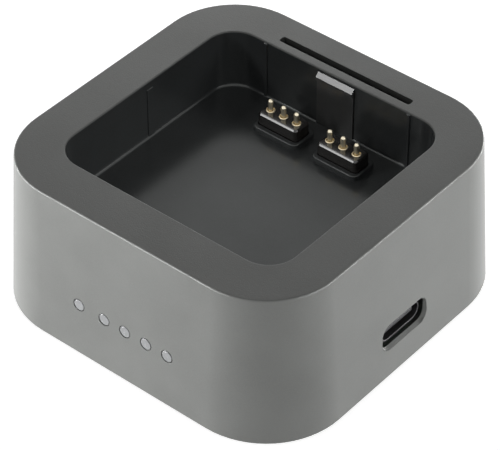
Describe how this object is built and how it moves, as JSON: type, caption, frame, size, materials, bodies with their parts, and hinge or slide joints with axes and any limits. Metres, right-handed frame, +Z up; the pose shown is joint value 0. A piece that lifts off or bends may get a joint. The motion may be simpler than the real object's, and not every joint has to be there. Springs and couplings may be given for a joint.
{
  "type": "camera flash battery charger",
  "caption": "Square desk charger for a flash battery: rounded flared housing, open bay with sprung contact pins and a latch, charge lights on the front and a USB-C socket on the side.",
  "frame": {"origin": "centre of the base, on the surface that the feet stand on", "axes": "+Z up, -Y towards the charge lights, +X towards the USB-C socket, +Y towards the latch"},
  "size_m": [0.0592, 0.0582, 0.0264],
  "materials": {
    "housing_plastic": "fine matt grain on the rim, satin on the sides",
    "cover_plastic": "fine matt grain",
    "latch_plastic": "satin",
    "block_plastic": "smooth",
    "foot_rubber": "matt",
    "screw_steel": "plated",
    "socket_steel": "nickel plated",
    "socket_plastic": "moulded",
    "contact_gold": "gold plated",
    "barrel_gold": "gold plated, turned",
    "plunger_gold": "gold plated, polished",
    "spring_steel": "drawn wire",
    "board_green": "solder mask",
    "light_guide_clear": "frosted clear",
    "chip_white": "smooth",
    "chip_black": "moulded",
    "ferrite": "sintered",
    "coil_copper": "enamelled",
    "capacitor_can": "drawn can"
  },
  "bodies": {
    "charger_body": {"housing": "housing_plastic", "base_cover": "cover_plastic", "base_screws": "screw_steel", "contact_block_left": "block_plastic", "contact_block_right": "block_plastic", "contact_board": "board_green", "contact_board_screws": "screw_steel", "header_insulator": "block_plastic", "header_pins": "contact_gold", "main_board": "board_green", "main_board_screws": "screw_steel", "socket_shell": "socket_steel", "socket_insulator": "socket_plastic", "socket_contacts": "contact_gold", "light_guide": "light_guide_clear", "inductor_core": "ferrite", "inductor_coil": "coil_copper", "charge_controller": "chip_black", "microcontroller": "chip_black", "input_capacitor": "capacitor_can", "output_capacitor": "capacitor_can", "rubber_foot_1": "foot_rubber", "rubber_foot_2": "foot_rubber", "rubber_foot_3": "foot_rubber", "rubber_foot_4": "foot_rubber", "pin_barrel_1": "barrel_gold", "pin_spring_1": "spring_steel", "pin_barrel_2": "barrel_gold", "pin_spring_2": "spring_steel", "pin_barrel_3": "barrel_gold", "pin_spring_3": "spring_steel", "pin_barrel_4": "barrel_gold", "pin_spring_4": "spring_steel", "pin_barrel_5": "barrel_gold", "pin_spring_5": "spring_steel", "pin_barrel_6": "barrel_gold", "pin_spring_6": "spring_steel", "light_chip_1": "chip_white", "light_chip_2": "chip_white", "light_chip_3": "chip_white", "light_chip_4": "chip_white", "light_chip_5": "chip_white"},
    "latch": {"latch_tongue": "latch_plastic"},
    "plunger_1": {"pin_plunger_1": "plunger_gold"},
    "plunger_2": {"pin_plunger_2": "plunger_gold"},
    "plunger_3": {"pin_plunger_3": "plunger_gold"},
    "plunger_4": {"pin_plunger_4": "plunger_gold"},
    "plunger_5": {"pin_plunger_5": "plunger_gold"},
    "plunger_6": {"pin_plunger_6": "plunger_gold"}
  },
  "joints": [
    {"name": "latch_bend", "type": "hinge", "parent": "charger_body", "child": "latch", "pos_m": [0, 0.0205, 0.0162], "axis": [-1, 0, 0], "range_deg": [0, 5.5], "stiffness_Nm_per_rad": 0.44},
    {"name": "plunger_1_press", "type": "slide", "parent": "charger_body", "child": "plunger_1", "axis": [0, 0, -1], "range_m": [0, 0.0013], "stiffness_N_per_m": 500, "springref_m": -0.0004, "deforming": ["pin_spring_1"]},
    {"name": "plunger_2_press", "type": "slide", "parent": "charger_body", "child": "plunger_2", "axis": [0, 0, -1], "range_m": [0, 0.0013], "stiffness_N_per_m": 500, "springref_m": -0.0004, "deforming": ["pin_spring_2"]},
    {"name": "plunger_3_press", "type": "slide", "parent": "charger_body", "child": "plunger_3", "axis": [0, 0, -1], "range_m": [0, 0.0013], "stiffness_N_per_m": 500, "springref_m": -0.0004, "deforming": ["pin_spring_3"]},
    {"name": "plunger_4_press", "type": "slide", "parent": "charger_body", "child": "plunger_4", "axis": [0, 0, -1], "range_m": [0, 0.0013], "stiffness_N_per_m": 500, "springref_m": -0.0004, "deforming": ["pin_spring_4"]},
    {"name": "plunger_5_press", "type": "slide", "parent": "charger_body", "child": "plunger_5", "axis": [0, 0, -1], "range_m": [0, 0.0013], "stiffness_N_per_m": 500, "springref_m": -0.0004, "deforming": ["pin_spring_5"]},
    {"name": "plunger_6_press", "type": "slide", "parent": "charger_body", "child": "plunger_6", "axis": [0, 0, -1], "range_m": [0, 0.0013], "stiffness_N_per_m": 500, "springref_m": -0.0004, "deforming": ["pin_spring_6"]}
  ]
}
